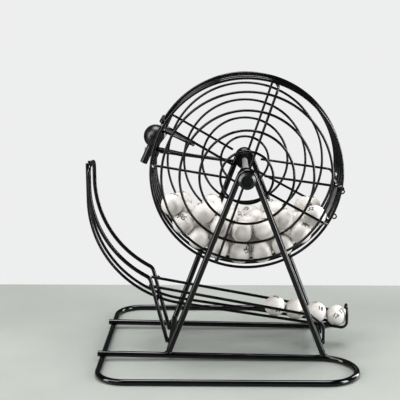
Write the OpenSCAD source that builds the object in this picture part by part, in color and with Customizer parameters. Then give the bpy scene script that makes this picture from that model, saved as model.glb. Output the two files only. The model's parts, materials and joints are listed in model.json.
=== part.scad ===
// Table lottery machine: a wire drum that turns on an axle between two leaning
// A-shaped wires, with a crank behind it and a ball chute that runs under it.
// X points right, Y points away from the viewer, Z points up. The origin is on
// the table, straight below the middle of the axle.

/* [Base] */
// Thickness of the heavy wire of the base and the stand
frame_wire = 6; // [4:0.5:8]
// Distance from the axle to the left end bar
end_bar_x = 147; // [135:1:165]
// Distance from the axle to where the right-hand turns begin
turn_x = 76; // [75:1:90]
// Distance from the middle plane to the outer bars
outer_bar_y = 115; // [105:1:130]
// Distance from the middle plane to the inner bars
inner_bar_y = 49.5; // [48:0.5:56]
// Bend radius of the two left corners
corner_r = 28; // [18:1:40]
// How far the inner bars reach past the end bar
bar_overhang = 5; // [3:0.5:10]
// How deep the inner bars are pressed into the end bar
bar_seat = 2; // [0.5:0.25:2.5]

/* [Stand] */
// Height of the axle above the table
axle_h = 191.5; // [185:0.5:205]
// Distance from the axle to each foot of the stand
foot_x = 79; // [70:1:80]
// Distance from the middle plane to the stand at axle height
apex_y = 65.5; // [64.5:0.5:72]
// Bend radius at the top of each stand wire
apex_r = 8; // [7.6:0.1:10]
// Diameter of the plate that carries each bearing
plate_d = 20; // [17:1:24]
// Thickness of the bearing plate
plate_t = 2.5; // [1.5:0.5:3]
// Outer diameter of the bearing barrel
bush_d = 9; // [8:0.5:10]
// Diameter of the bearing flange
bush_flange_d = 13; // [11:0.5:15]
// Thickness of the bearing flange
bush_flange_t = 1.5; // [1:0.25:2]

/* [Drum] */
// Radius of the rim hoops, to the middle of the wire
hoop_r = 95.8; // [91:0.1:100]
// Thickness of the hoop wire
hoop_wire = 2.8; // [2:0.1:3.4]
// Distance between the first hoop and the last
hoop_span = 72; // [66:1:74]
// Distance from the middle plane to the face spokes
spoke_y = 51; // [49:0.5:51.5]
// Thickness of the spoke wire and the ring wire
cage_wire = 2.5; // [2:0.1:2.8]
// Bend radius of the spokes at the rim
spoke_bend = 5; // [4:0.5:10]
// Radius of the smallest face ring
ring_1_r = 26; // [22:0.5:30]
// Radius of the second face ring
ring_2_r = 46.5; // [40:0.5:52]
// Radius of the third face ring
ring_3_r = 66; // [60:0.5:72]
// Radius of the largest face ring
ring_4_r = 84; // [78:0.5:84.5]
// Distance from the axle line to the free ends of the short spokes
spoke_end_r = 17; // [14:0.5:21]
// Angle of the spokes that reach the hubs
long_spoke_a = 71; // [55:1:85]
// Angle of the middle of the exit
exit_a = 160; // [155:1:167]
// Angle of the middle of the loading door
door_a = -18.5; // [-24:0.5:-12]
// Half the angle between the two short spokes beside the exit or the door
spoke_half_a = 10.25; // [10:0.25:12]
// How far each short spoke stands off the line to the axle
spoke_off = 3.75; // [2.5:0.25:5]
// Thickness of the guard wire over the top of the rim
guard_wire = 2.4; // [2:0.1:3]

/* [Axle] */
// Axle diameter
axle_d = 6; // [4:0.5:6.5]
// Diameter of the hub discs
hub_d = 20; // [16:1:26]
// Thickness of the hub discs
hub_t = 3; // [2:0.5:3.5]
// Diameter of the hub bosses
boss_d = 12; // [10.5:0.5:14]
// Length of the hub bosses beyond the disc
boss_l = 2.4; // [2.2:0.2:3]
// Diameter of the front axle cap
cap_d = 17; // [14:0.5:20]
// Length of the front axle cap
cap_l = 5; // [4:0.5:8]
// Free end of the axle behind the crank
axle_stub = 6; // [4:0.5:10]
// Diameter of the hub and crank set screws
set_screw_d = 2; // [1.6:0.1:2.2]

/* [Crank] */
// Length of the crank arm, from beside the axle to the grip
crank_r = 106; // [95:1:108]
// Angle of the crank arm at rest
crank_a = 172.5; // [168:0.5:176]
// How far the crank arm runs beside the axle line
crank_off = 6.5; // [6.3:0.1:6.7]
// Crank arm diameter
arm_d = 4; // [3.5:0.5:4.5]
// Diameter of the crank boss
crank_boss_d = 20; // [19:0.5:22]
// Length of the crank boss
crank_boss_l = 11; // [10:0.5:14]
// Diameter of the grip ball
grip_ball_d = 26; // [24:0.5:28]
// Distance from the middle of the ball to its flat side
grip_flat = 9; // [8:0.5:11]
// Turn of the flat side from square to the arm
flat_turn = 30; // [20:1:40]
// Distance from the arm to the middle of the ball
ball_reach = 17.2; // [16.5:0.1:20]
// Distance from the arm to the free end of the stem
stem_reach = 15.5; // [12:0.5:15.5]
// Diameter of the grip stem
stem_d = 8.2; // [8:0.2:9]
// Lean of the stem from square to the arm
stem_lean = 17.5; // [10:0.5:22]
// Shank diameter of the screw that holds the grip
grip_screw_d = 2.5; // [2:0.25:2.5]

/* [Door and gate] */
// Sheet thickness of the loading door
door_t = 1; // [0.8:0.1:1.2]
// Angle from the middle of the door to its hinge
hinge_half_a = 8; // [7:0.25:9.5]
// Sheet thickness of the ball gate
gate_t = 0.8; // [0.6:0.1:1.2]
// Sheet thickness of the exit plate
exit_t = 1.2; // [0.8:0.1:1.4]
// Inner diameter of the exit collar
exit_d = 24.4; // [23:0.1:25]
// Wall of the exit collar
collar_t = 0.7; // [0.5:0.1:1]
// Diameter of the hinge pins
pin_d = 2; // [1.6:0.1:2.2]
// Outer diameter of the hinge knuckles
knuckle_d = 4; // [3.6:0.1:4.4]
// Thickness of the hinge lugs
lug_t = 1.6; // [1.2:0.1:2]
// Radius of the finger eyes, to the middle of their wire
eye_r = 2.2; // [1.8:0.1:3]
// Wire thickness of the finger eyes
eye_wire = 1.4; // [1:0.1:1.6]
// Length of the post under the eye of the door
eye_post = 2; // [1:0.25:4]

/* [Chute] */
// Thickness of the chute hoop wire
chute_wire = 4; // [3:0.5:5]
// Thickness of the track and rail wires
track_wire = 3; // [2.5:0.1:3.5]
// Distance from the middle plane to each side of the chute hoop
chute_y = 20; // [18:0.5:24]
// Distance from the axle to the upright back of the chute
chute_x = 160; // [152:0.5:168]
// Height of the top of the chute
chute_top = 196.5; // [190:0.5:210]
// Radius of the curved back of the chute
chute_r = 109; // [100:1:118]
// Height of the middle of that curve
chute_mid_z = 177; // [172:1:184]
// How far the chute curve turns
chute_turn = 60; // [54:1:64]
// Bend radius where the chute curve meets its legs
knee_r = 9; // [6:0.5:12]
// Straight wire between the curve and the knee bend
knee_gap = 2; // [1:0.5:6]
// Distance between the two floor wires of the track
floor_gap = 16; // [12:0.5:16]
// Radius of the curved floor of the chute
floor_r = 112; // [106:1:120]
// Height of the middle of the floor curve
floor_mid_z = 159; // [156:1:166]
// Slope of the track
track_slope = 8.8; // [7:0.2:10]
// Distance from the axle to the end stop
stop_x = 107.5; // [100:0.5:112]
// Height of the top of the end stop
stop_top = 44; // [42:1:56]
// Height of the side rails where they meet the chute legs
rail_z = 69; // [64:0.5:72]
// Slope of the side rails
rail_slope = 10.5; // [8:0.5:11.5]
// Distance from the axle to where the rails turn down
rail_end_x = 68; // [60:1:72]

/* [Balls] */
// Ball diameter
ball_d = 22; // [18:0.5:22]
// Number of balls lying in the tray
tray_count = 4; // [1:1:5]
// Number of ball rows across the drum
pile_rows = 4; // [2:1:4]
// Angle where the pile meets the rim on the left
pile_from_a = 214; // [208:1:220]
// Angle where the pile meets the rim on the right
pile_to_a = 332; // [315:1:340]

/* [Clearances] */
// Running clearance of shafts and hinge pins, on the radius
run_gap = 0.05; // [0.02:0.01:0.09]
// Gap between loose pieces and what they rest on
rest_gap = 0.3; // [0.2:0.05:0.5]
// Gap between neighbouring balls
ball_gap = 0.15; // [0.1:0.05:0.4]
// Gap between a moving piece and what it passes
pass_gap = 0.5; // [0.4:0.05:0.8]
// Depth of the resistance welds between crossing wires
weld = 0.02; // [0.01:0.01:0.04]

/* [Hidden] */
$fn = 48;
wire_black = [0.07, 0.07, 0.08];
steel = [0.78, 0.79, 0.8];
plastic_black = [0.04, 0.04, 0.05];
sheet_grey = [0.35, 0.36, 0.38];
ball_white = [0.93, 0.91, 0.86];

// Base: the inner bars climb to the left and lie on top of the end bar.
frame_r = frame_wire / 2;
turn_r = (outer_bar_y - inner_bar_y) / 2;
right_x = turn_x + turn_r;
bar_drop = (frame_wire - bar_seat) / (right_x + end_bar_x);
function inner_bar_z(x) = frame_r + (right_x - x) * bar_drop;

// Stand: the lower edge of each leg's cut end is pressed into its inner bar.
foot_lift = 0.2;
function foot_z(x) = inner_bar_z(x) + frame_r + foot_lift;
foot_mid_z = (foot_z(-foot_x) + foot_z(foot_x)) / 2;
apex_rise = axle_h - foot_mid_z;
leg_a = atan2(foot_x, apex_rise) - asin(apex_r / norm([foot_x, apex_rise]));
lean_per_mm = (apex_y - inner_bar_y) / apex_rise;
lean_a = atan(lean_per_mm);
apex_tip = apex_r / sin(leg_a);
tip_y = apex_y + apex_tip * lean_per_mm;
cross_rise = frame_r - weld;
cross_y = inner_bar_y + cross_rise * lean_per_mm - frame_r + 2 * weld;
cross_x = foot_x - cross_rise * tan(leg_a);

// Bearings: a plate on the drum side of each stand wire holds a flanged bush.
plate_off = frame_r + plate_t / 2 - weld;
bush_out_y = apex_y + frame_r / 2;
bush_flange_y = apex_y - plate_off - plate_t / 2 - plate_d / 2 * sin(lean_a) - bush_flange_t;

// Drum: spokes inside, rings and hoops welded round them, the guard wire outermost.
cage_r = cage_wire / 2;
hoop_wire_r = hoop_wire / 2;
rim_bar_r = hoop_r - hoop_wire_r - cage_r + weld;
ring_y = spoke_y + cage_wire - weld;
hoop_count = 5;
hoop_pitch = hoop_span / (hoop_count - 1);
guard_r = hoop_r + hoop_wire_r + guard_wire / 2 - weld / 2;
bay_half_a = spoke_half_a + asin(spoke_off / rim_bar_r);
ring_rs = [ring_1_r, ring_2_r, ring_3_r, ring_4_r];
// How far past a spoke the end of a broken hoop reaches.
hoop_tail_a = 0.8;

// Hubs and axle ends.
axle_r = axle_d / 2;
hub_y = spoke_y + cage_r - weld;
boss_end_y = hub_y + hub_t + boss_l;
hub_spoke_r = axle_r + 1;
lean_room = (apex_r + frame_r) * sin(lean_a);
frame_out_y = apex_y + frame_r + lean_room;
cap_y = frame_out_y + pass_gap;
crank_y0 = frame_out_y + 1.5;
crank_y = crank_y0 + crank_boss_l / 2;
axle_back_y = crank_y0 + crank_boss_l + axle_stub;
cap_floor = 1.5;

// Grip: the arm ends inside the stem and a screw in the outer side holds it.
arm_start = -5;
arm_end_r = crank_r + 1;
grip_wall = 1.6;
screw_head_r = grip_screw_d / 2 + 1.2;
screw_head_t = 1.8;
screw_grip_l = 8;

// Hinges: the pins lie just outside the rim hoops.
bay_half_y = hoop_pitch - hoop_wire_r;
hinge_r = hoop_r + hoop_wire_r + pass_gap + knuckle_d / 2;
hinge_shift_a = 1.5;
door_hinge_a = door_a + hinge_half_a;
gate_hinge_a = exit_a - bay_half_a + hinge_shift_a;
door_in_r = hoop_r + hoop_wire_r + rest_gap;
door_half_y = hoop_pitch + hoop_wire_r;
leaf_a = 2.1;
leaf_lap_a = 0.4;
door_top_a = door_hinge_a - leaf_a;
door_edge_a = door_a - bay_half_a + 1.2;
door_eye_a = door_a - 9.2;
gate_in_r = hoop_r + hoop_wire_r + pass_gap;
gate_edge_a = exit_a + bay_half_a - 1.5;
exit_in_r = hoop_r - exit_t / 2;
exit_side_y = bay_half_y + weld;
collar_out_r = exit_d / 2 + collar_t;
collar_top = sqrt(pow(hoop_r + exit_t / 2, 2) - pow(collar_out_r, 2)) + weld;
collar_l = 3.8;

// Chute: profile points in the X-Z plane.
chute_wire_r = chute_wire / 2;
track_r = track_wire / 2;
chute_cut = chute_r * tan(chute_turn / 2);
knee_cut = 5;
chute_corner = [-chute_x, chute_mid_z - chute_cut];
knee = chute_corner + (chute_cut + knee_gap + knee_cut) * [sin(chute_turn), -cos(chute_turn)];
chute_weld_z = foot_z(-foot_x) + cross_rise;
chute_weld = [-cross_x - frame_r - chute_wire_r + weld, chute_weld_z];
leg_dir = (chute_weld - knee) / norm(chute_weld - knee);
chute_foot = chute_weld + leg_dir * frame_r;
function leg_x(z) = knee.x + (z - knee.y) * leg_dir.x / leg_dir.y;

// Track: floor wires, end stop, side rails and their two cross wires.
floor_x = chute_x + chute_wire_r + track_r - weld;
floor_mid_x = floor_r - floor_x;
floor_turn = 90 - track_slope;
floor_corner = [-floor_x, floor_mid_z - floor_r * tan(floor_turn / 2)];
floor_start = [floor_mid_x - floor_r * sin(track_slope), floor_mid_z - floor_r * cos(track_slope)];
function floor_z(x) = floor_start.y - (x - floor_start.x) * tan(track_slope);
stop_bend = 6;
rail_y = chute_y - chute_wire_r - track_r + weld;
rail_tail = 4;
function rail_h(x) = rail_z - (x - leg_x(rail_z)) * tan(rail_slope);
rail_leg_x = cross_x + frame_r + track_r - weld;
rail_foot_z = foot_z(foot_x) + cross_rise;
rail_knee_z = rail_h(rail_end_x) - (rail_leg_x - rail_end_x) * tan(37);
saddle_reach = floor_r + track_wire - weld;
saddle_x = leg_x(floor_mid_z - sqrt(pow(saddle_reach, 2) - pow(leg_x(rail_z) - floor_mid_x, 2)));
saddle_z = floor_mid_z - sqrt(pow(saddle_reach, 2) - pow(saddle_x - floor_mid_x, 2));
track_cross_z = floor_z(rail_leg_x) - (track_wire - weld) / cos(track_slope);

// Balls.
ball_r = ball_d / 2;
ball_pitch = ball_d + ball_gap;
ball_lift = sqrt(pow(ball_r + track_r + rest_gap, 2) - pow(floor_gap / 2, 2));
last_ball_x = stop_x - ball_lift;
pile_r = rim_bar_r - cage_r - ball_r - pass_gap;
pile_y = spoke_y - cage_r - ball_r - pass_gap;
pile_layers = 2;
// How far the two ends of each row are turned from the pile's own, front row first.
row_starts = [-12, -6, 3, -2];
row_ends = [0, -6, 3, -4];
// How far the upper layer stands in at both ends.
layer_inset_a = 20;

// How much wider than the wire it is where a bend begins and ends.
bead = 0.08;

function unit(v) = v / norm(v);
function polar(r, a) = [r * cos(a), r * sin(a)];

// Turns +Z to point along v.
module aim(v) {
    rotate([0, acos(v.z), atan2(v.y, v.x)])
        children();
}

// A straight piece of wire from p to q.
module rod(p, q, d) {
    if (norm(q - p) > 0.01)
        translate(p)
            aim(unit(q - p))
                cylinder(h = norm(q - p), d = d);
}

// The slight swelling where a bend meets the straight wire.
module swell(p, v, d) {
    translate(p)
        aim(v)
            sphere(d = d + bead, $fn = 24);
}

// A round bend of wire that replaces the corner between directions u and v.
module bend(corner, u, v, r, d) {
    turn = acos(u * v);
    n = unit(cross(u, v));
    start = corner - u * r * tan(turn / 2);
    middle = start + cross(n, u) * r;
    out = (start - middle) / r;
    multmatrix([
        [out.x, u.x, n.x, middle.x],
        [out.y, u.y, n.y, middle.y],
        [out.z, u.z, n.z, middle.z],
        [0, 0, 0, 1]
    ])
        rotate_extrude(angle = turn)
            translate([r, 0])
                circle(d = d);
}

// A bent wire through pts, with one bend radius for each inner point.
module wire(pts, radii, d) {
    last = len(pts) - 1;
    dirs = [for (i = [0:last - 1]) unit(pts[i + 1] - pts[i])];
    cuts = [
        for (i = [0:last])
            i == 0 || i == last ? 0 : radii[i - 1] * tan(acos(dirs[i - 1] * dirs[i]) / 2)
    ];
    for (i = [0:last - 1])
        rod(pts[i] + dirs[i] * cuts[i], pts[i + 1] - dirs[i] * cuts[i + 1], d);
    for (i = [1:last - 1]) {
        bend(pts[i], dirs[i - 1], dirs[i], radii[i - 1], d);
        swell(pts[i] + dirs[i] * cuts[i], dirs[i], d);
        if (norm(pts[i] - pts[i - 1]) - cuts[i] - cuts[i - 1] > 0.01)
            swell(pts[i] - dirs[i - 1] * cuts[i], dirs[i - 1], d);
    }
}

// Profile points [x, z] placed in the plane at distance y.
function at_y(p, y) = [p.x, y, p.y];

module on_axle() {
    translate([0, 0, axle_h])
        children();
}

// A round wire in a plane across the axle, from angle a0 to a1.
module rim_arc(r, y, a0, a1, d) {
    translate([0, y, 0])
        rotate([90, 0, 0])
            rotate([0, 0, a0])
                rotate_extrude(angle = a1 - a0)
                    translate([r, 0])
                        circle(d = d);
}

module rim_ring(r, y, d) {
    translate([0, y, 0])
        rotate([90, 0, 0])
            rotate_extrude()
                translate([r, 0])
                    circle(d = d);
}

// A curved sheet round the axle, from radius r outwards.
module rim_sheet(r, t, half_y, a0, a1) {
    rotate([90, 0, 0])
        rotate([0, 0, a0])
            rotate_extrude(angle = a1 - a0)
                translate([r, -half_y])
                    square([t, 2 * half_y]);
}

// A cylinder along Y between y0 and y1.
module y_rod(x, z, y0, y1, d) {
    translate([x, y1, z])
        rotate([90, 0, 0])
            cylinder(h = y1 - y0, d = d);
}

// A flat bar between two points of the X-Z plane, from y0 to y1.
module xz_bar(p, q, t, y0, y1) {
    translate([0, y1, 0])
        rotate([90, 0, 0])
            linear_extrude(height = y1 - y0)
                translate(p)
                    rotate(atan2(q.y - p.y, q.x - p.x))
                        translate([0, -t / 2])
                            square([norm(q - p), t]);
}

// Points out along the radius at angle a.
module along_radius(a) {
    rotate([0, 90 - a, 0])
        children();
}

module base_loop() {
    left_x = -end_bar_x - bar_overhang;
    color(wire_black)
        wire([
            [left_x, inner_bar_y, inner_bar_z(left_x)],
            [right_x, inner_bar_y, frame_r],
            [right_x, outer_bar_y, frame_r],
            [-end_bar_x, outer_bar_y, frame_r],
            [-end_bar_x, -outer_bar_y, frame_r],
            [right_x, -outer_bar_y, frame_r],
            [right_x, -inner_bar_y, frame_r],
            [left_x, -inner_bar_y, inner_bar_z(left_x)]
        ], [turn_r, turn_r, corner_r, corner_r, turn_r, turn_r], frame_wire);
}

module stand_wire() {
    color(wire_black)
        wire([
            [-foot_x, -inner_bar_y, foot_z(-foot_x)],
            [0, -tip_y, axle_h + apex_tip],
            [foot_x, -inner_bar_y, foot_z(foot_x)]
        ], [apex_r], frame_wire);
}

module front_stand_wire() stand_wire();

module rear_stand_wire() mirror([0, 1, 0]) stand_wire();

module cross_bar(x) {
    z = foot_z(x) + cross_rise;
    color(wire_black)
        rod([sign(x) * cross_x, -cross_y, z], [sign(x) * cross_x, cross_y, z], frame_wire);
}

module left_cross_bar() cross_bar(-foot_x);

module right_cross_bar() cross_bar(foot_x);

module bearing_plate() {
    color(wire_black)
        on_axle()
            difference() {
                translate([0, -apex_y, 0])
                    rotate([lean_a, 0, 0])
                        y_rod(0, 0, plate_off - plate_t / 2, plate_off + plate_t / 2, plate_d);
                y_rod(0, 0, -apex_y - frame_wire, -apex_y + 2 * frame_wire, bush_d);
            }
}

module front_bearing_plate() bearing_plate();

module rear_bearing_plate() mirror([0, 1, 0]) bearing_plate();

module bush() {
    color(plastic_black)
        on_axle()
            difference() {
                union() {
                    y_rod(0, 0, -bush_out_y, -bush_flange_y, bush_d);
                    y_rod(0, 0, -bush_flange_y - bush_flange_t, -bush_flange_y, bush_flange_d);
                }
                y_rod(0, 0, -bush_out_y - 1, -bush_flange_y + 1, axle_d + 2 * run_gap);
            }
}

module front_bush() bush();

module rear_bush() mirror([0, 1, 0]) bush();

module axle() {
    color(steel)
        on_axle()
            y_rod(0, 0, -cap_y - cap_l + cap_floor, axle_back_y, axle_d);
}

// Set screw through the side of a boss, its tip on the axle.
module set_screw(y, outer_r, a) {
    on_axle()
        translate([0, y, 0])
            along_radius(a)
                translate([0, 0, axle_r])
                    cylinder(h = outer_r - axle_r, d = set_screw_d);
}

module hub() {
    screw_y = -hub_y - hub_t - boss_l / 2;
    color(wire_black)
        difference() {
            on_axle() {
                y_rod(0, 0, -hub_y - hub_t, -hub_y, hub_d);
                y_rod(0, 0, -boss_end_y, -hub_y, boss_d);
            }
            on_axle()
                y_rod(0, 0, -boss_end_y - 1, -hub_y + 1, axle_d);
            set_screw(screw_y, boss_d, long_spoke_a + 90);
        }
}

module front_hub() hub();

module rear_hub() mirror([0, 1, 0]) hub();

module set_screws() {
    color(steel) {
        for (side = [-1, 1])
            set_screw(side * (hub_y + hub_t + boss_l / 2), boss_d / 2, long_spoke_a + 90);
        set_screw(crank_y, crank_boss_d / 2 - 0.5, crank_a - 90);
    }
}

module axle_cap() {
    back = -cap_y;
    front = -cap_y - cap_l;
    color(plastic_black)
        on_axle()
            difference() {
                union() {
                    y_rod(0, 0, front + cap_l * 0.4, back, cap_d);
                    translate([0, front, 0])
                        rotate([-90, 0, 0])
                            cylinder(h = cap_l * 0.4, d1 = cap_d * 0.7, d2 = cap_d);
                }
                y_rod(0, 0, front + cap_floor, back + 1, axle_d);
            }
}

// A spoke that runs out along one face, over the rim and in along the other.
// It is parallel to the radius at angle a, and stands off it by off.
module cage_spoke(a, inner_r, off) {
    reach = sqrt(pow(rim_bar_r, 2) - pow(off, 2));
    color(wire_black)
        on_axle()
            rotate([0, -a, 0])
                wire([
                    [inner_r, -spoke_y, off],
                    [reach, -spoke_y, off],
                    [reach, spoke_y, off],
                    [inner_r, spoke_y, off]
                ], [spoke_bend, spoke_bend], cage_wire);
}

module upper_long_spoke() cage_spoke(long_spoke_a, hub_spoke_r, 0);

module lower_long_spoke() cage_spoke(long_spoke_a + 180, hub_spoke_r, 0);

module exit_spoke_upper() cage_spoke(exit_a - spoke_half_a, spoke_end_r, -spoke_off);

module exit_spoke_lower() cage_spoke(exit_a + spoke_half_a, spoke_end_r, spoke_off);

module door_spoke_upper() cage_spoke(door_a + spoke_half_a, spoke_end_r, spoke_off);

module door_spoke_lower() cage_spoke(door_a - spoke_half_a, spoke_end_r, -spoke_off);

module face_ring(i, side) {
    color(wire_black)
        on_axle()
            rim_ring(ring_rs[i], side * ring_y, cage_wire);
}

module rim_hoop(i) {
    color(wire_black)
        on_axle()
            rim_ring(hoop_r, -hoop_span / 2 + i * hoop_pitch, hoop_wire);
}

module middle_hoop(a0, a1) {
    color(wire_black)
        on_axle()
            rim_arc(hoop_r, 0, a0 - hoop_tail_a, a1 + hoop_tail_a, hoop_wire);
}

module middle_hoop_top() middle_hoop(door_a + bay_half_a, exit_a - bay_half_a);

module middle_hoop_bottom() middle_hoop(exit_a + bay_half_a, door_a - bay_half_a + 360);

module top_guard() {
    color(wire_black)
        on_axle()
            rim_arc(guard_r, 0, door_a + bay_half_a, exit_a - bay_half_a, guard_wire);
}

module hinge_lugs(a) {
    seat = polar(hoop_r + hoop_wire_r - weld, a);
    centre = polar(hinge_r, a);
    color(wire_black)
        on_axle()
            difference() {
                for (side = [-1, 1]) {
                    y0 = side * hoop_pitch - lug_t / 2;
                    y_rod(centre.x, centre.y, y0, y0 + lug_t, knuckle_d);
                    xz_bar(seat, centre, knuckle_d, y0, y0 + lug_t);
                }
                y_rod(centre.x, centre.y, -2 * hoop_pitch, 2 * hoop_pitch, pin_d);
            }
}

module door_lugs() hinge_lugs(door_hinge_a);

module gate_lugs() hinge_lugs(gate_hinge_a);

// A hinge pin between y0 and the far lug.
module hinge_pin(a, y0) {
    centre = polar(hinge_r, a);
    y_rod(centre.x, centre.y, y0, hoop_pitch + lug_t, pin_d);
}

// The front end of the pin of the door is bent to a round eye.
module door_pin() {
    eye_y = -door_half_y - rest_gap - eye_wire / 2;
    middle = polar(hinge_r, door_hinge_a) + polar(eye_r, door_hinge_a - 90);
    color(steel)
        on_axle() {
            hinge_pin(door_hinge_a, eye_y - eye_wire);
            translate([middle.x, 0, middle.y])
                rim_ring(eye_r, eye_y, eye_wire);
        }
}

module gate_pin() {
    color(steel)
        on_axle()
            hinge_pin(gate_hinge_a, -hoop_pitch - lug_t);
}

// The curled edge of a hinged sheet, with the leaf that joins it to the sheet.
module knuckle(a, sheet_point, t) {
    centre = polar(hinge_r, a);
    half = hoop_pitch - lug_t / 2 - rest_gap;
    leaf_half = bay_half_y - 2 * pass_gap;
    y_rod(centre.x, centre.y, -half, half, knuckle_d);
    xz_bar(centre, sheet_point, t, -leaf_half, leaf_half);
}

module pin_hole(a) {
    centre = polar(hinge_r, a);
    y_rod(centre.x, centre.y, -2 * hoop_pitch, 2 * hoop_pitch, pin_d + 2 * run_gap);
}

// The door closes from outside on the second hoop and the fourth.
module door_panel() {
    color(sheet_grey)
        on_axle()
            difference() {
                union() {
                    knuckle(door_hinge_a, polar(door_in_r + door_t / 2, door_top_a - leaf_lap_a),
                        door_t);
                    rim_sheet(door_in_r, door_t, door_half_y, door_edge_a, door_top_a);
                }
                pin_hole(door_hinge_a);
            }
}

// A finger eye on a short post near the free edge of the door.
module door_eye() {
    post_r = door_in_r + door_t - weld / 2;
    eye_mid_r = post_r + eye_post + eye_r;
    color(steel)
        on_axle()
            translate([0, -bay_half_y + 3, 0])
                along_radius(door_eye_a) {
                    translate([0, 0, post_r])
                        cylinder(h = eye_post + eye_wire / 2, d = eye_wire);
                    translate([0, 0, eye_mid_r])
                        rim_ring(eye_r, 0, eye_wire);
                }
}

module exit_plate() {
    color(sheet_grey)
        on_axle()
            difference() {
                rim_sheet(exit_in_r, exit_t, exit_side_y, exit_a - bay_half_a + 1.5,
                    exit_a + bay_half_a - 1.5);
                along_radius(exit_a)
                    translate([0, 0, hoop_r - 3 * exit_t])
                        cylinder(h = 6 * exit_t, r = collar_out_r);
            }
}

module exit_collar() {
    color(steel)
        on_axle()
            along_radius(exit_a)
                translate([0, 0, collar_top - collar_l])
                    difference() {
                        cylinder(h = collar_l, r = collar_out_r);
                        translate([0, 0, -1])
                            cylinder(h = collar_l + 2, d = exit_d);
                    }
}

module ball_gate() {
    start_a = gate_hinge_a + leaf_a;
    color(sheet_grey)
        on_axle()
            difference() {
                union() {
                    knuckle(gate_hinge_a, polar(gate_in_r + gate_t / 2, start_a + leaf_lap_a),
                        gate_t);
                    rim_sheet(gate_in_r, gate_t, bay_half_y - pass_gap, start_a, gate_edge_a);
                }
                pin_hole(gate_hinge_a);
            }
}

// Puts +Z along the middle of the crank arm, from beside the axle.
module on_arm() {
    on_axle()
        translate([0, crank_y, 0])
            along_radius(crank_a)
                translate([-crank_off, 0, 0])
                    children();
}

module crank_boss() {
    color(plastic_black)
        difference() {
            on_axle()
                y_rod(0, 0, crank_y0, crank_y0 + crank_boss_l, crank_boss_d);
            on_axle()
                y_rod(0, 0, crank_y0 - 1, crank_y0 + crank_boss_l + 1, axle_d);
            on_arm()
                translate([0, 0, arm_start])
                    cylinder(h = crank_boss_d, d = arm_d);
            set_screw(crank_y, crank_boss_d, crank_a - 90);
        }
}

module crank_arm() {
    color(wire_black)
        on_arm()
            difference() {
                translate([0, 0, arm_start])
                    cylinder(h = arm_end_r - arm_start, d = arm_d);
                translate([0, 0, arm_end_r - screw_grip_l + 0.5])
                    cylinder(h = screw_grip_l, d = grip_screw_d);
            }
}

// The grip is a ball with one flat side, on a stem that crosses the arm.
module grip() {
    wall_r = arm_end_r + rest_gap;
    head_r = wall_r + grip_wall;
    color(plastic_black)
        on_arm()
            difference() {
                translate([0, 0, crank_r])
                    rotate([0, -90 + stem_lean, 0])
                        translate([0, 0, -ball_reach]) {
                            cylinder(h = ball_reach + stem_reach, d = stem_d);
                            difference() {
                                sphere(d = grip_ball_d);
                                rotate([0, -90 + flat_turn - stem_lean, 0])
                                    translate([0, 0, grip_flat])
                                        cylinder(h = grip_ball_d, d = 2 * grip_ball_d);
                            }
                        }
                translate([0, 0, crank_r - grip_ball_d])
                    cylinder(h = wall_r - crank_r + grip_ball_d, d = arm_d + 2 * run_gap);
                translate([0, 0, arm_end_r])
                    cylinder(h = grip_ball_d, d = grip_screw_d + 4 * run_gap);
                translate([0, 0, head_r])
                    cylinder(h = grip_ball_d, r = screw_head_r + rest_gap);
            }
}

module grip_screw() {
    head_r = arm_end_r + 2 * rest_gap + grip_wall;
    color(steel)
        on_arm() {
            translate([0, 0, arm_end_r - screw_grip_l + 1])
                cylinder(h = head_r - arm_end_r + screw_grip_l - 1, d = grip_screw_d);
            difference() {
                translate([0, 0, head_r])
                    cylinder(h = screw_head_t, r = screw_head_r);
                translate([-screw_head_r, -0.3, head_r + screw_head_t / 2])
                    cube([2 * screw_head_r, 0.6, screw_head_t]);
            }
        }
}

module chute_hoop() {
    color(wire_black)
        wire([
            at_y(chute_foot, -chute_y),
            at_y(knee, -chute_y),
            at_y(chute_corner, -chute_y),
            [-chute_x, -chute_y, chute_top],
            [-chute_x, chute_y, chute_top],
            at_y(chute_corner, chute_y),
            at_y(knee, chute_y),
            at_y(chute_foot, chute_y)
        ], [knee_r, chute_r, chute_wire * 2, chute_wire * 2, chute_r, knee_r], chute_wire);
}

module chute_saddle() {
    reach = chute_y - chute_wire_r + weld;
    color(wire_black)
        rod([saddle_x, -reach, saddle_z], [saddle_x, reach, saddle_z], track_wire);
}

module track_floor() {
    half = floor_gap / 2;
    color(wire_black)
        wire([
            [-floor_x, -half, chute_top + track_r],
            at_y(floor_corner, -half),
            [stop_x, -half, floor_z(stop_x)],
            [stop_x, -half, stop_top],
            [stop_x, half, stop_top],
            [stop_x, half, floor_z(stop_x)],
            at_y(floor_corner, half),
            [-floor_x, half, chute_top + track_r]
        ], [floor_r, stop_bend, half, half, stop_bend, floor_r], track_wire);
}

module side_rail(side) {
    left_x = leg_x(rail_z) - rail_tail;
    y = side * rail_y;
    color(wire_black)
        wire([
            [left_x, y, rail_h(left_x)],
            [rail_end_x, y, rail_h(rail_end_x)],
            [rail_leg_x, y, rail_knee_z],
            [rail_leg_x, y, rail_foot_z - frame_r]
        ], [track_wire * 2, track_wire * 2], track_wire);
}

module front_side_rail() side_rail(-1);

module rear_side_rail() side_rail(1);

module track_cross_wire() {
    reach = rail_y - track_r + weld;
    color(wire_black)
        rod([rail_leg_x, -reach, track_cross_z], [rail_leg_x, reach, track_cross_z], track_wire);
}

module tray_balls() {
    color(ball_white)
        for (i = [0:tray_count - 1]) {
            x = last_ball_x - i * ball_pitch * cos(track_slope);
            translate([x, 0, floor_z(x) + ball_lift / cos(track_slope)])
                sphere(r = ball_r);
        }
}

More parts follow.
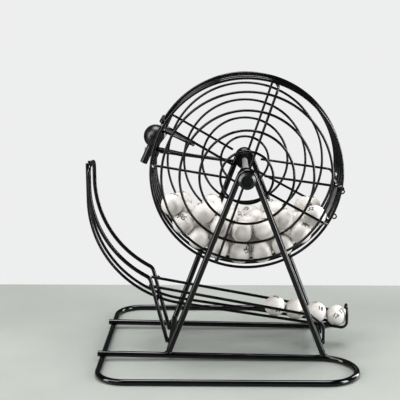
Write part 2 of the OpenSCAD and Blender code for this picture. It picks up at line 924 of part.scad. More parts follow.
// One row of the pile: arcs of balls that follow the rim, one inside the other.
module pile_row(row) {
    for (layer = [0:pile_layers - 1]) {
        r = pile_r - layer * ball_pitch;
        step = 2 * asin(ball_pitch / 2 / r);
        from = pile_from_a + row_starts[row] + layer * layer_inset_a;
        to = pile_to_a + row_ends[row] - layer * layer_inset_a;
        for (i = [0:floor((to - from) / step)])
            translate([r * cos(from + i * step), 0, r * sin(from + i * step)])
                sphere(r = ball_r);
    }
}

module drum_balls() {
    pitch = pile_rows > 1 ? 2 * pile_y / (pile_rows - 1) : 0;
    color(ball_white)
        on_axle()
            for (i = [0:pile_rows - 1])
                translate([0, -pile_y + i * pitch, 0])
                    pile_row(i);
}

base_loop();
front_stand_wire();
rear_stand_wire();
left_cross_bar();
right_cross_bar();
front_bearing_plate();
rear_bearing_plate();
front_bush();
rear_bush();
chute_hoop();
chute_saddle();
track_floor();
front_side_rail();
rear_side_rail();
track_cross_wire();
axle();
front_hub();
rear_hub();
set_screws();
axle_cap();
upper_long_spoke();
lower_long_spoke();
exit_spoke_upper();
exit_spoke_lower();
door_spoke_upper();
door_spoke_lower();
face_ring(0, -1);  // front_ring_1
face_ring(1, -1);  // front_ring_2
face_ring(2, -1);  // front_ring_3
face_ring(3, -1);  // front_ring_4
face_ring(0, 1);  // rear_ring_1
face_ring(1, 1);  // rear_ring_2
face_ring(2, 1);  // rear_ring_3
face_ring(3, 1);  // rear_ring_4
rim_hoop(0);  // rim_hoop_1
rim_hoop(1);  // rim_hoop_2
rim_hoop(3);  // rim_hoop_4
rim_hoop(4);  // rim_hoop_5
middle_hoop_top();
middle_hoop_bottom();
top_guard();
door_lugs();
door_pin();
door_panel();
door_eye();
exit_plate();
exit_collar();
gate_lugs();
gate_pin();
ball_gate();
crank_boss();
crank_arm();
grip();
grip_screw();
tray_balls();
drum_balls();
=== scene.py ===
import json
import math
import random

import bmesh
import bpy
from mathutils import Matrix, Vector


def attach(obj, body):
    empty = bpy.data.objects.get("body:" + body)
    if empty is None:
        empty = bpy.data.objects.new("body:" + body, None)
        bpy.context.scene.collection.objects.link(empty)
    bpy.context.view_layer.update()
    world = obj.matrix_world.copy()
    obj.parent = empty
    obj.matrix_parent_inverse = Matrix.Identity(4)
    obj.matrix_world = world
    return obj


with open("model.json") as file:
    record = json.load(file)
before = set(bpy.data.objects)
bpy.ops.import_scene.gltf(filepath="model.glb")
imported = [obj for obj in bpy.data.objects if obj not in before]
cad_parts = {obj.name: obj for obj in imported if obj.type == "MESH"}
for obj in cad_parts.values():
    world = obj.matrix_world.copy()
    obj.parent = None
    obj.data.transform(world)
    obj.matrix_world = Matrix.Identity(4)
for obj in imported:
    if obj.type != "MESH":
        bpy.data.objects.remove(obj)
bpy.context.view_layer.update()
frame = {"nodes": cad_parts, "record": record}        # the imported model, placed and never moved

mm = 0.001
axleHeight = 191.5 * mm
print("frame loaded:", len(frame["nodes"]), "nodes")

view = {
    "place": (-0.02109, -0.97698, 0.36171),
    "turn": -0.0270,        # radians, to the left of straight ahead
    "dip": 0.2055,          # radians, looking down
    "roll": -0.0048,
    "lens": 86.12,
    "sensor": 36.0,
    "near": 0.05,
}


def aimCamera(s):
    lens = bpy.data.cameras.new("photoCamera")
    lens.lens = s["lens"]
    lens.sensor_fit = "HORIZONTAL"
    lens.sensor_width = s["sensor"]
    lens.clip_start = s["near"]
    eye = bpy.data.objects.new("photoCamera", lens)
    bpy.context.scene.collection.objects.link(eye)
    ahead = Vector((math.sin(s["turn"]) * math.cos(s["dip"]),
                    math.cos(s["turn"]) * math.cos(s["dip"]), -math.sin(s["dip"])))
    right = Vector((math.cos(s["turn"]), -math.sin(s["turn"]), 0))
    up = right.cross(ahead)
    c, n = math.cos(s["roll"]), math.sin(s["roll"])
    right, up = c * right + n * up, c * up - n * right
    turn = Matrix((right, up, -ahead)).transposed()
    eye.matrix_world = Matrix.Translation(s["place"]) @ turn.to_4x4()
    bpy.context.scene.camera = eye


aimCamera(view)

light = {
    "aim": (-0.01, 0.0, 0.14),
    "lamps": {
        "key": {"place": (-0.95, -0.85, 1.25), "size": (0.95, 0.95), "watts": 17.0,
                "tint": (1.0, 0.99, 0.98)},
        "rightStrip": {"place": (1.15, -0.55, 0.42), "size": (0.4, 1.0), "watts": 21.0,
                       "tint": (0.97, 0.985, 1.0)},
        "backStrip": {"place": (1.0, 0.6, 0.4), "size": (0.35, 0.9), "watts": 10.0,
                      "tint": (1.0, 0.99, 0.96)},
        "leftStrip": {"place": (-1.2, -0.45, 0.42), "size": (0.4, 1.0), "watts": 11.0,
                      "tint": (1.0, 1.0, 1.0)},
        "over": {"place": (0.0, 0.15, 1.5), "size": (0.8, 0.8), "watts": 22.0,
                 "tint": (1.0, 1.0, 1.0)},
    },
}


def hangLights(s):
    for name, lamp in s["lamps"].items():
        data = bpy.data.lights.new(name + "Light", "AREA")
        data.shape = "RECTANGLE"
        data.size, data.size_y = lamp["size"]
        data.energy = lamp["watts"]
        data.color = lamp["tint"]
        item = bpy.data.objects.new(name + "Light", data)
        item.location = lamp["place"]
        way = Vector(s["aim"]) - Vector(lamp["place"])
        item.rotation_euler = way.to_track_quat("-Z", "Y").to_euler()
        bpy.context.scene.collection.objects.link(item)


hangLights(light)

room = {
    "wall": (0.72, 0.722, 0.725, 1),
    "tint": (0.96, 0.98, 1.0, 1),
    "felt": 0.34,           # how bright the room is on the surfaces
    "mirrored": 0.09,       # and how bright it is in what they mirror
}


def paintRoom(s):
    world = bpy.data.worlds.new("paleRoom")
    bpy.context.scene.world = world
    world.use_nodes = True
    nodes, links = world.node_tree.nodes, world.node_tree.links
    nodes.clear()
    out = nodes.new("ShaderNodeOutputWorld")
    mix = nodes.new("ShaderNodeMixShader")
    path = nodes.new("ShaderNodeLightPath")
    seen = nodes.new("ShaderNodeBackground")
    felt = nodes.new("ShaderNodeBackground")
    seen.inputs["Color"].default_value = s["wall"]
    seen.inputs["Strength"].default_value = 1.0
    felt.inputs["Color"].default_value = s["tint"]
    dim = nodes.new("ShaderNodeMath")
    dim.operation = "MULTIPLY_ADD"
    dim.inputs[1].default_value = s["mirrored"] - s["felt"]
    dim.inputs[2].default_value = s["felt"]
    links.new(path.outputs["Is Glossy Ray"], dim.inputs[0])
    links.new(dim.outputs[0], felt.inputs["Strength"])
    links.new(path.outputs["Is Camera Ray"], mix.inputs["Fac"])
    links.new(felt.outputs[0], mix.inputs[1])
    links.new(seen.outputs[0], mix.inputs[2])
    links.new(mix.outputs[0], out.inputs[0])


paintRoom(room)
bpy.context.scene.view_settings.view_transform = "Standard"
bpy.context.scene.view_settings.look = "Medium High Contrast"
print("camera, lamps and room made")


class Link:             # a node's output that can be added, multiplied and so on
    def __init__(self, finish, socket):
        self.finish, self.socket = finish, socket

    def sum(self, how, first, second):
        return self.finish.node("ShaderNodeMath", {"operation": how}, {0: first, 1: second})

    def __add__(self, other):
        return self.sum("ADD", self, other)

    def __radd__(self, other):
        return self.sum("ADD", other, self)

    def __sub__(self, other):
        return self.sum("SUBTRACT", self, other)

    def __rsub__(self, other):
        return self.sum("SUBTRACT", other, self)

    def __mul__(self, other):
        return self.sum("MULTIPLY", self, other)

    def __rmul__(self, other):
        return self.sum("MULTIPLY", other, self)

    def __truediv__(self, other):
        return self.sum("DIVIDE", self, other)

    def __rtruediv__(self, other):
        return self.sum("DIVIDE", other, self)

    def __abs__(self):
        return self.finish.node("ShaderNodeMath", {"operation": "ABSOLUTE"}, {0: self})


class Finish:           # one material, with a surface and the nodes that feed it
    def __init__(self, name, **surface):
        self.material = bpy.data.materials.new(name)
        self.material.use_nodes = True
        self.tree = self.material.node_tree
        self.tree.nodes.clear()
        self.surface = self.tree.nodes.new("ShaderNodeBsdfPrincipled")
        out = self.tree.nodes.new("ShaderNodeOutputMaterial")
        self.tree.links.new(self.surface.outputs[0], out.inputs[0])
        self.set(surface)

    def plug(self, socket, value):
        if isinstance(value, Link):
            self.tree.links.new(value.socket, socket)
        else:
            socket.default_value = value

    def set(self, surface):
        for name, value in surface.items():
            self.plug(self.surface.inputs[name], value)

    def node(self, kind, settings=None, inputs=None, output=0):
        made = self.tree.nodes.new(kind)
        for name, value in (settings or {}).items():
            if name == "stops":
                for place, (at, colour) in enumerate(value):
                    stop = made.color_ramp.elements[place]
                    stop.position, stop.color = at, colour
            else:
                setattr(made, name, value)
        for name, value in (inputs or {}).items():
            self.plug(made.inputs[name], value)
        return Link(self, made.outputs[output])

    def place(self, scale=(1, 1, 1)):
        spot = self.node("ShaderNodeTexCoord", output="Object")
        settings = {"vector_type": "POINT"}
        return self.node("ShaderNodeMapping", settings, {"Vector": spot, "Scale": scale})

    def noise(self, size, detail=2.0, rough=0.5, where=None):
        where = where or self.place()
        return self.node("ShaderNodeTexNoise", None,
                         {"Vector": where, "Scale": 1 / size, "Detail": detail, "Roughness": rough})

    def grey(self, value, low, high):       # 0 below low, 1 above high
        stops = ((low, (0, 0, 0, 1)), (high, (1, 1, 1, 1)))
        return self.node("ShaderNodeValToRGB", {"stops": stops}, {"Fac": value})

    def blend(self, amount, first, second):
        return self.node("ShaderNodeMix", {"data_type": "RGBA"}, {0: amount, 6: first, 7: second}, 2)

    def bump(self, height, depth, strength):
        self.set({"Normal": self.node("ShaderNodeBump", None,
                                      {"Height": height, "Distance": depth, "Strength": strength})})


enamelLook = {
    "deep": (0.0012, 0.0013, 0.0015, 1), "dusty": (0.004, 0.004, 0.0042, 1),
    "peel": 1.6 * mm, "runs": 14 * mm, "dust": (0.45, 0.78),
    "rough": 0.07, "dustRough": 0.1, "peelRough": 0.04,
    "ior": 1.5, "gloss": 0.45, "runHeight": 2.0, "depth": 0.012 * mm, "strength": 0.4,
}


def blackEnamel(s):
    f = Finish("blackEnamel", **{"IOR": s["ior"], "Specular IOR Level": s["gloss"]})
    dust = f.grey(f.noise(s["runs"], detail=4.0, rough=0.6), *s["dust"])
    peel = f.noise(s["peel"])
    f.set({"Base Color": f.blend(dust, s["deep"], s["dusty"]),
           "Roughness": s["rough"] + dust * s["dustRough"] + peel * s["peelRough"]})
    f.bump(peel + f.noise(s["runs"], detail=1.0) * s["runHeight"], s["depth"], s["strength"])
    return f.material


steelLook = {
    "lines": 0.35 * mm, "drawn": 0.06,      # the lines are long along the way it was drawn
    "cloud": 9 * mm, "clouded": (0.35, 0.75), "fade": (0.62, 0.6, 0.58),
    "lineRough": 0.14, "cloudRough": 0.08, "depth": 0.02 * mm, "strength": 0.5,
}


def drawnSteel(s, name, along, tint, shine, metal):
    stretch = [s["drawn"] if k == along else 1.0 for k in range(3)]
    f = Finish(name, Metallic=metal)
    lines = f.noise(s["lines"], detail=3.0, rough=0.6, where=f.place(stretch))
    cloud = f.noise(s["cloud"], detail=3.0)
    dull = [part * fade for part, fade in zip(tint, s["fade"])] + [1]
    f.set({"Base Color": f.blend(f.grey(cloud, *s["clouded"]), tint, dull),
           "Roughness": shine + lines * s["lineRough"] + cloud * s["cloudRough"]})
    f.bump(lines, s["depth"], s["strength"])
    return f.material


sheetLook = {
    "metal": 0.8, "coat": 0.15, "coatRough": 0.25,
    "rub": 5 * mm, "rubbed": (0.35, 0.7), "rubRough": 0.2,
    "scratch": 1.2 * mm, "scratchLong": (1, 0.05, 1), "scratched": (0.6, 0.72), "scratchShare": 0.5,
    "darkBlue": 1.06, "paleBlue": 1.05, "bare": 1.3, "bareBlue": 1.35,
    "depth": 0.03 * mm, "strength": 0.5,
}


def greySheet(s, name, dark, pale, shine):
    f = Finish(name, Metallic=s["metal"],
               **{"Coat Weight": s["coat"], "Coat Roughness": s["coatRough"]})
    rub = f.noise(s["rub"], detail=5.0, rough=0.65)
    scratch = f.grey(f.noise(s["scratch"], where=f.place(s["scratchLong"])), *s["scratched"])
    paint = f.blend(f.grey(rub, *s["rubbed"]), (dark, dark, dark * s["darkBlue"], 1),
                    (pale, pale, pale * s["paleBlue"], 1))
    bare = (pale * s["bare"], pale * s["bare"], pale * s["bareBlue"], 1)
    f.set({"Base Color": f.blend(scratch * s["scratchShare"], paint, bare),
           "Roughness": shine + rub * s["rubRough"]})
    f.bump(rub + scratch, s["depth"], s["strength"])
    return f.material


mouldLook = {
    "deep": (0.0022, 0.0024, 0.0028, 1), "hazy": (0.009, 0.009, 0.0095, 1), "hazed": (0.4, 0.8),
    "grain": 0.55 * mm, "haze": 7 * mm, "hazeRough": 0.14, "grainRough": 0.05, "ior": 1.48,
    "seamWide": (0.12, 0.4), "seamDeep": -3.0, "depth": 0.025 * mm, "strength": 0.6,
}


def mouldedBlack(s, name, rough, seam=None):
    f = Finish(name, IOR=s["ior"])
    grain = f.noise(s["grain"])
    haze = f.noise(s["haze"], detail=3.0)
    f.set({"Base Color": f.blend(f.grey(haze, *s["hazed"]), s["deep"], s["hazy"]),
           "Roughness": rough + haze * s["hazeRough"] + grain * s["grainRough"]})
    height = grain
    if seam is not None:        # the line where the two halves of the mould met
        across = f.node("ShaderNodeSeparateXYZ", None, {0: f.place()}, 1)
        height = grain + f.grey(abs(across - seam) / mm, *s["seamWide"]) * s["seamDeep"]
    f.bump(height, s["depth"], s["strength"])
    return f.material


ballLook = {
    "clean": (0.577, 0.555, 0.53, 1), "stained": (0.5, 0.476, 0.445, 1),
    "stain": 9 * mm, "stains": (0.35, 0.72), "stainRough": 0.16,
    "speckled": (0.5, 0.45, 0.4, 1), "speck": 0.9 * mm, "specks": (0.66, 0.74), "speckShare": 0.25,
    "rough": 0.34, "ior": 1.46,
    "glow": 0.12, "glowReach": 0.004, "glowTint": (1.0, 0.8, 0.6),
    "dimple": 2.2 * mm, "depth": 0.03 * mm, "strength": 0.5,
}


def ballPlastic(s):
    f = Finish("ballPlastic", IOR=s["ior"],
               **{"Subsurface Weight": s["glow"], "Subsurface Scale": s["glowReach"],
                  "Subsurface Radius": s["glowTint"]})
    stain = f.noise(s["stain"], detail=3.0, rough=0.6)
    speck = f.grey(f.noise(s["speck"], detail=1.0), *s["specks"])
    warm = f.blend(f.grey(stain, *s["stains"]), s["clean"], s["stained"])
    f.set({"Base Color": f.blend(speck * s["speckShare"], warm, s["speckled"]),
           "Roughness": s["rough"] + stain * s["stainRough"]})
    f.bump(f.noise(s["dimple"]), s["depth"], s["strength"])
    return f.material


inkLook = {
    "full": (0.012, 0.012, 0.014, 1), "thin": (0.05, 0.05, 0.055, 1),
    "patch": 0.8 * mm, "smear": 1.5 * mm, "rough": 0.45, "smearRough": 0.2,
}


def printInk(s):
    f = Finish("printInk")
    f.set({"Base Color": f.blend(f.noise(s["patch"]), s["full"], s["thin"]),
           "Roughness": s["rough"] + f.noise(s["smear"]) * s["smearRough"]})
    return f.material


enamel = blackEnamel(enamelLook)
axleSteel = drawnSteel(steelLook, "axleSteel", along=1, tint=(0.7, 0.7, 0.7, 1),
                       shine=0.24, metal=0.75)
smallSteel = drawnSteel(steelLook, "smallSteel", along=2, tint=(0.55, 0.55, 0.56, 1),
                        shine=0.22, metal=1.0)
# near-white steel for two small pieces: its white colour is a painted highlight that stands for glints
# on the drum
paintedGlintSteel = drawnSteel(steelLook, "paintedGlintSteel", along=0, tint=(0.92, 0.92, 0.91, 1),
                         shine=0.2, metal=0.25)
sheetPaint = greySheet(sheetLook, "sheetPaint", dark=0.07, pale=0.13, shine=0.22)
doorSheet = greySheet(sheetLook, "doorSheet", dark=0.42, pale=0.55, shine=0.26)
gripPlastic = mouldedBlack(mouldLook, "gripPlastic", rough=0.24, seam=76.45 * mm)
bushPlastic = mouldedBlack(mouldLook, "bushPlastic", rough=0.5)
capPlastic = mouldedBlack(mouldLook, "capPlastic", rough=0.16)
ballWhite = ballPlastic(ballLook)
ink = printInk(inkLook)

# by the record's material slot, then by node where one differs from its slot
finishOf = {
    "wire": enamel, "steel": smallSteel, "sheet": sheetPaint,
    "plastic": gripPlastic, "nylon": bushPlastic, "balls": ballWhite,
    "axle": axleSteel, "exit_collar": sheetPaint, "axle_cap": capPlastic, "crank_boss": capPlastic,
    "door_eye": enamel, "door_pin": enamel, "door_panel": doorSheet,
}


def dressFrame():
    for part in frame["record"]["subparts"]:
        item = frame["nodes"][part["node"]]
        item.data.materials.clear()
        item.data.materials.append(finishOf.get(part["node"], finishOf[part["material_slot"]]))


dressFrame()
print("finishes made")

table = {
    "left": -1.6, "right": 1.6, "front": -1.3, "back": 0.217,
    "pale": (0.28, 0.293, 0.274, 1), "dark": (0.247, 0.26, 0.244, 1), "gloss": 0.2,
    "cloud": 0.16, "clouded": (0.3, 0.75), "rough": 0.2, "cloudRough": 0.08,
    "ripple": 4 * mm, "depth": 0.02 * mm, "strength": 0.2,
}
halfUnit = 0.5              # create_grid takes half the width


def paleTable(s):
    f = Finish("paleTable", **{"Specular IOR Level": s["gloss"]})
    cloud = f.noise(s["cloud"], detail=5.0, rough=0.6)
    f.set({"Base Color": f.blend(f.grey(cloud, *s["clouded"]), s["pale"], s["dark"]),
           "Roughness": s["rough"] + cloud * s["cloudRough"]})
    f.bump(f.noise(s["ripple"]), s["depth"], s["strength"])
    return f.material


def layTable(s):
    mesh = bmesh.new()
    bmesh.ops.create_grid(mesh, x_segments=1, y_segments=1, size=halfUnit)
    wide, deep = s["right"] - s["left"], s["back"] - s["front"]
    middle = ((s["left"] + s["right"]) / 2, (s["front"] + s["back"]) / 2, 0)
    bmesh.ops.scale(mesh, vec=(wide, deep, 1), verts=mesh.verts)
    bmesh.ops.translate(mesh, vec=middle, verts=mesh.verts)
    data = bpy.data.meshes.new("paleTable")
    mesh.to_mesh(data)
    mesh.free()
    item = bpy.data.objects.new("paleTable", data)
    bpy.context.scene.collection.objects.link(item)
    data.materials.append(paleTable(s))


layTable(table)


# a finished mesh becomes a piece that rides on a body
def keep(mesh, name, body, finish, smooth=True):
    data = bpy.data.meshes.new(name)
    mesh.to_mesh(data)
    mesh.free()
    item = bpy.data.objects.new(name, data)
    bpy.context.scene.collection.objects.link(item)
    data.materials.append(finish)
    for face in data.polygons:
        face.use_smooth = smooth
    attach(item, body)
    print(name, len(data.polygons), "faces")


# the middle of each ball of a node, row by row from the front and from below
def ballCentres(node, same):
    mesh = bmesh.new()
    mesh.from_mesh(frame["nodes"][node].data)
    bmesh.ops.remove_doubles(mesh, verts=mesh.verts, dist=same)
    left, centres = set(mesh.verts), []
    while left:
        group, edge = set(), [left.pop()]
        while edge:
            vert = edge.pop()
            group.add(vert)
            for way in vert.link_edges:
                other = way.other_vert(vert)
                if other in left:
                    left.discard(other)
                    edge.append(other)
        low = Vector([min(v.co[k] for v in group) for k in range(3)])
        high = Vector([max(v.co[k] for v in group) for k in range(3)])
        centres.append((low + high) / 2)
    mesh.free()
    return sorted(centres, key=lambda c: (round(c.y, 4), round(c.z, 4), c.x))


ballPrint = {
    "radius": 11 * mm, "proud": 0.03 * mm, "tall": 6.4 * mm, "heavy": 0.2 * mm, "cell": 1.0 * mm,
    "curveCuts": 2,             # how finely a round stroke is cut
    "same": 0.00001,            # corners closer than this are one
    "turn": 6.28,               # the largest random turn, in radians
    "trayFirst": 17, "drumFirst": 21,
    # azimuth, height and lean of the number on each ball in the track, from the right
    "trayFaces": ((0.55, 0.7, 0.4), (0.5, 0.65, -0.5), (0.45, -0.15, 0.3), (0.3, -0.1, -0.2)),
}


# the outline of one numeral, flat, cut fine enough to bend round a ball
def flatNumber(words, s):
    curve = bpy.data.curves.new("number", "FONT")
    curve.body = words
    curve.size = s["tall"]
    curve.offset = s["heavy"]
    curve.align_x = "CENTER"
    curve.align_y = "CENTER"
    curve.resolution_u = s["curveCuts"]
    item = bpy.data.objects.new("number", curve)
    bpy.context.scene.collection.objects.link(item)
    bpy.context.view_layer.update()
    flat = bpy.data.meshes.new_from_object(item)
    mesh = bmesh.new()
    mesh.from_mesh(flat)
    bpy.data.objects.remove(item)
    bpy.data.curves.remove(curve)
    bpy.data.meshes.remove(flat)
    reach = int(s["tall"] / s["cell"])
    for axis in (0, 1):
        for step in range(-reach, reach + 1):
            spot, way = [0, 0, 0], [0, 0, 0]
            spot[axis], way[axis] = step * s["cell"], 1
            bmesh.ops.bisect_plane(mesh, geom=mesh.verts[:] + mesh.edges[:] + mesh.faces[:],
                                   plane_co=spot, plane_no=way)
    return mesh


def wrapNumber(mesh, s, turn, centre):
    for vert in mesh.verts:
        a, b = vert.co.x / s["radius"], vert.co.y / s["radius"]
        out = Vector((math.sin(a) * math.cos(b), math.sin(b), math.cos(a) * math.cos(b)))
        vert.co = centre + turn @ (out * (s["radius"] + s["proud"]))


# two numbers on each ball, turned at random unless the first one's facing is given
def printNumbers(node, body, name, s, first, facing=None):
    chance = random.Random(first)
    whole = bmesh.new()
    for count, centre in enumerate(ballCentres(node, s["same"])):
        words = str(first + count)
        for side in (0, 1):
            mesh = flatNumber(words, s)
            if facing and side == 0:
                turn = facing[count]
            else:
                spin = Vector([chance.gauss(0, 1) for k in range(3)]).normalized()
                turn = Matrix.Rotation(chance.uniform(0, s["turn"]), 3, spin)
            wrapNumber(mesh, s, turn, centre)
            data = bpy.data.meshes.new("oneNumber")
            mesh.to_mesh(data)
            mesh.free()
            whole.from_mesh(data)
            bpy.data.meshes.remove(data)
    keep(whole, name, body, ink)


def facingTurn(azimuth, height, lean):
    level = math.cos(height)
    out = Vector((math.sin(azimuth) * level, -math.cos(azimuth) * level, math.sin(height)))
    return out.to_track_quat("Z", "Y").to_matrix() @ Matrix.Rotation(lean, 3, "Z")


trayTurns = [facingTurn(*face) for face in ballPrint["trayFaces"]]
printNumbers("tray_balls", "tray_balls", "trayNumbers", ballPrint, ballPrint["trayFirst"], trayTurns)
printNumbers("drum_balls", "ball_pile", "drumNumbers", ballPrint, ballPrint["drumFirst"])

weld = {
    # direction of each spoke, and how far it stands off the line to the axle
    "spokes": ((71, 0), (251, 0), (149.75, -3.75), (170.25, 3.75), (-8.25, 3.75), (-28.75, -3.75)),
    "rings": (26, 46.5, 66, 84),
    "ringSeat": 52.24, "hoopSeat": 94.4,
    "hoops": (-36, -18, 0, 18, 36),
    "wide": 1.55, "flat": 0.95,     # half sizes of a lump
}


# a soft lump of weld under the enamel, its place and half sizes in millimetres
def addLump(mesh, centre, sizes, turn=None):
    made = bmesh.ops.create_icosphere(mesh, subdivisions=2, radius=1.0)["verts"]
    bmesh.ops.scale(mesh, vec=[size * mm for size in sizes], verts=made)
    if turn:
        bmesh.ops.rotate(mesh, cent=(0, 0, 0), matrix=turn, verts=made)
    bmesh.ops.translate(mesh, vec=[c * mm for c in centre], verts=made)


def weldCage(s):
    mesh = bmesh.new()
    height = axleHeight / mm
    for angle, off in s["spokes"]:
        turn = Matrix.Rotation(-math.radians(angle), 3, "Y")
        for r in s["rings"]:
            a = math.radians(angle) + math.asin(off / r)
            for side in (-1, 1):
                addLump(mesh, (r * math.cos(a), side * s["ringSeat"], height + r * math.sin(a)),
                        (s["wide"], s["flat"], s["wide"]), turn)
        r = s["hoopSeat"]
        a = math.radians(angle) + math.asin(off / r)
        for y in s["hoops"]:
            addLump(mesh, (r * math.cos(a), y, height + r * math.sin(a)),
                    (s["flat"], s["wide"], s["wide"]), turn)
    keep(mesh, "cageWelds", "drum", enamel)


weldCage(weld)

frameWeld = {
    # place on one side of the middle plane, then the half sizes of the lump
    "pairs": (
        ((-79.3, 49.5, 9.0), (4.4, 3.5, 1.5)), ((79.3, 49.5, 6.6), (4.4, 3.5, 1.5)),
        ((-77.9, 46.9, 12.1), (3.5, 1.4, 3.5)), ((77.9, 46.9, 9.7), (3.5, 1.4, 3.5)),
        ((-82.3, 20, 11.8), (1.9, 2.3, 2.9)), ((80.9, 16.6, 9.7), (1.4, 1.8, 2.2)),
        ((-147, 49.5, 5.1), (3.4, 3.4, 1.2)), ((-93.3, 18.1, 52.1), (1.9, 1.1, 1.9)),
        ((-93.6, 18.1, 69.0), (2.2, 1.1, 1.9)), ((82.4, 15.1, 21.6), (1.8, 1.1, 1.8)),
        ((-161.7, 8.0, 196.3), (1.2, 1.9, 2.3)), ((-92.6, 8.0, 53.7), (1.9, 1.8, 1.1)),
    ),
}


def weldFrame(s):
    mesh = bmesh.new()
    for (x, y, z), sizes in s["pairs"]:
        for side in (-1, 1):
            addLump(mesh, (x, side * y, z), sizes)
    keep(mesh, "frameWelds", "frame", enamel)


weldFrame(frameWeld)
print("numbers and welds made")


# a point by its radius and angle round the axle, in metres
def drumPoint(r, angle, y):
    a = math.radians(angle)
    return Vector((r * mm * math.cos(a), y * mm, axleHeight + r * mm * math.sin(a)))


# a round wire along a row of points, closed at both ends
def bentWire(mesh, points, thick, sides=12):
    last = len(points) - 1
    ways = [(points[min(k + 1, last)] - points[max(k - 1, 0)]).normalized() for k in range(last + 1)]
    turn = ways[0].to_track_quat("Z", "Y").to_matrix()
    ring = bmesh.ops.create_circle(mesh, cap_ends=True, segments=sides, radius=thick / 2)["verts"]
    bmesh.ops.rotate(mesh, cent=(0, 0, 0), matrix=turn, verts=ring)
    bmesh.ops.translate(mesh, vec=points[0], verts=ring)
    edges = list(dict.fromkeys(edge for vert in ring for edge in vert.link_edges))
    for k in range(1, last + 1):
        grown = bmesh.ops.extrude_edge_only(mesh, edges=edges)["geom"]
        ring = [g for g in grown if isinstance(g, bmesh.types.BMVert)]
        edges = [g for g in grown if isinstance(g, bmesh.types.BMEdge) and g.is_boundary]
        turn = ways[k - 1].rotation_difference(ways[k]).to_matrix()
        bmesh.ops.translate(mesh, vec=points[k] - points[k - 1], verts=ring)
        bmesh.ops.rotate(mesh, cent=points[k], matrix=turn, verts=ring)
    bmesh.ops.edgeloop_fill(mesh, edges=edges)
    bmesh.ops.recalc_face_normals(mesh, faces=mesh.faces)


guides = {
    "upper": {"angle": 154.3, "inner": 60.0, "outer": 94.9, "side": 11.5},
    "lower": {"angle": 167.4, "inner": 65.5, "outer": 94.9, "side": 7.6},
    "wire": 2.2, "bend": 3.0, "bendCuts": 4,
    "lip": 3.4, "lipEnd": 1,
    "sheet": 0.5, "cells": (6, 4),
}


# one leg of a guide, from the rim to its lip, as radius and distance from the middle plane
def guideLeg(g, s):
    leg = [(g["outer"], g["side"])]
    for k in range(s["bendCuts"] + 1):
        b = math.radians(90 * k / s["bendCuts"])
        outward, inward = 1 - math.sin(b), 1 - math.cos(b)
        leg.append((g["inner"] + s["bend"] * outward, g["side"] - s["bend"] * inward))
    return leg


# two tongues inside the exit: a wire frame with a rolled lip, and a thin sheet between its legs
def exitGuides(s):
    wires, sheets = bmesh.new(), bmesh.new()
    for name in ("upper", "lower"):
        g = s[name]
        leg = guideLeg(g, s)
        path = [drumPoint(r, g["angle"], y) for r, y in leg]
        path += [drumPoint(r, g["angle"], -y) for r, y in reversed(leg)]
        bentWire(wires, path, s["wire"] * mm)
        reach, end = g["side"] - s["bend"], s["lipEnd"]
        lip = [drumPoint(g["inner"], g["angle"], y) for y in (-reach, -reach + end, reach - end, reach)]
        bentWire(wires, lip, s["lip"] * mm)
        made = bmesh.ops.create_grid(sheets, x_segments=s["cells"][0], y_segments=s["cells"][1],
                                     size=halfUnit)["verts"]
        long = g["outer"] - g["inner"]
        bmesh.ops.scale(sheets, vec=(long * mm, 2 * g["side"] * mm, 1), verts=made)
        bmesh.ops.translate(sheets, vec=((g["inner"] + long / 2) * mm, 0, 0), verts=made)
        turn = Matrix.Rotation(-math.radians(g["angle"]), 3, "Y")
        bmesh.ops.rotate(sheets, cent=(0, 0, 0), matrix=turn, verts=made)
        bmesh.ops.translate(sheets, vec=(0, 0, axleHeight), verts=made)
    bmesh.ops.solidify(sheets, geom=sheets.faces, thickness=s["sheet"] * mm)
    keep(wires, "exitGuideWires", "drum", enamel)
    keep(sheets, "exitGuideSheets", "drum", smallSteel, False)


exitGuides(guides)

bow = {"angle": 174.2, "ends": 93.0, "bulge": 3.6, "reach": 45.0, "wire": 1.8, "steps": 24,
       "root": 93.5, "rootAngle": 172.9, "rootReach": 45.8}


# a white wire bowed out behind the lower exit spoke: a painted highlight standing for the glint along
# the rim bar there
def exitBow(s):
    mesh = bmesh.new()
    path = [drumPoint(s["root"], s["rootAngle"], -s["rootReach"])]
    for k in range(s["steps"] + 1):
        y = s["reach"] * (2 * k / s["steps"] - 1)
        out = s["bulge"] * math.cos(math.pi * y / 2 / s["reach"])
        path.append(drumPoint(s["ends"] + out, s["angle"], y))
    path.append(drumPoint(s["root"], s["rootAngle"], s["rootReach"]))
    bentWire(mesh, path, s["wire"] * mm)
    keep(mesh, "exitBow", "drum", paintedGlintSteel)


exitBow(bow)

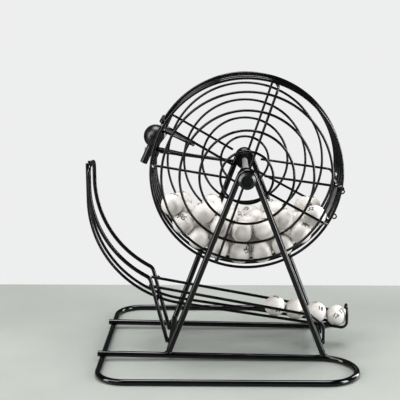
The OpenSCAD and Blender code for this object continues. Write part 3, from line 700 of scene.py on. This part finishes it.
spring = {"r": 93.17, "angle": -31.06, "from": -33.2, "to": -21.4,
          "coil": 3.1, "wire": 1.3, "turns": 6, "cuts": 14, "sides": 8}


# the closing spring of the door, wound round the rim end of the spoke below it
def doorSpring(s):
    mesh = bmesh.new()
    centre = drumPoint(s["r"], s["angle"], 0)
    count = s["turns"] * s["cuts"]
    path = []
    for k in range(count + 1):
        a = 2 * math.pi * k / s["cuts"]
        y = s["from"] + (s["to"] - s["from"]) * k / count
        path.append(centre + Vector((s["coil"] * math.cos(a), y, s["coil"] * math.sin(a))) * mm)
    bentWire(mesh, path, s["wire"] * mm, s["sides"])
    keep(mesh, "doorSpring", "drum", smallSteel)


doorSpring(spring)

stay = {"r": 94.5, "thick": 0.8, "from": -4.4, "to": -9.4, "near": 2.6, "far": 15.2,
        "cellsAcross": 4, "cellsAlong": 6}


# a thin leaf between the upper door spoke and the hinge; its near-white finish is a painted glint
def hingeStay(s):
    mesh = bmesh.new()
    wide, cells = s["far"] - s["near"], s["cellsAcross"]
    places = [s["near"] + wide * k / cells for k in range(cells + 1)]
    row = [mesh.verts.new(drumPoint(s["r"], s["from"], y)) for y in places]
    edges = [mesh.edges.new(row[k:k + 2]) for k in range(cells)]
    bmesh.ops.spin(mesh, geom=row + edges, cent=(0, 0, axleHeight), axis=(0, 1, 0), dvec=(0, 0, 0),
                   angle=math.radians(s["from"] - s["to"]), steps=s["cellsAlong"])
    bmesh.ops.solidify(mesh, geom=mesh.faces, thickness=s["thick"] * mm)
    bmesh.ops.recalc_face_normals(mesh, faces=mesh.faces)
    keep(mesh, "hingeStay", "drum", paintedGlintSteel, False)


hingeStay(stay)

foot = {"r": 98.6, "angle": -27.9, "y": -13.6, "size": (1.3, 3.2, 2.4)}


# the black foot of the finger eye on the door
def eyeFoot(s):
    mesh = bmesh.new()
    place = drumPoint(s["r"], s["angle"], s["y"])
    turn = Matrix.Rotation(-math.radians(s["angle"]), 3, "Y")
    addLump(mesh, [c / mm for c in place], s["size"], turn)
    keep(mesh, "eyeFoot", "door", enamel)


eyeFoot(foot)
print("pieces on the drum made")
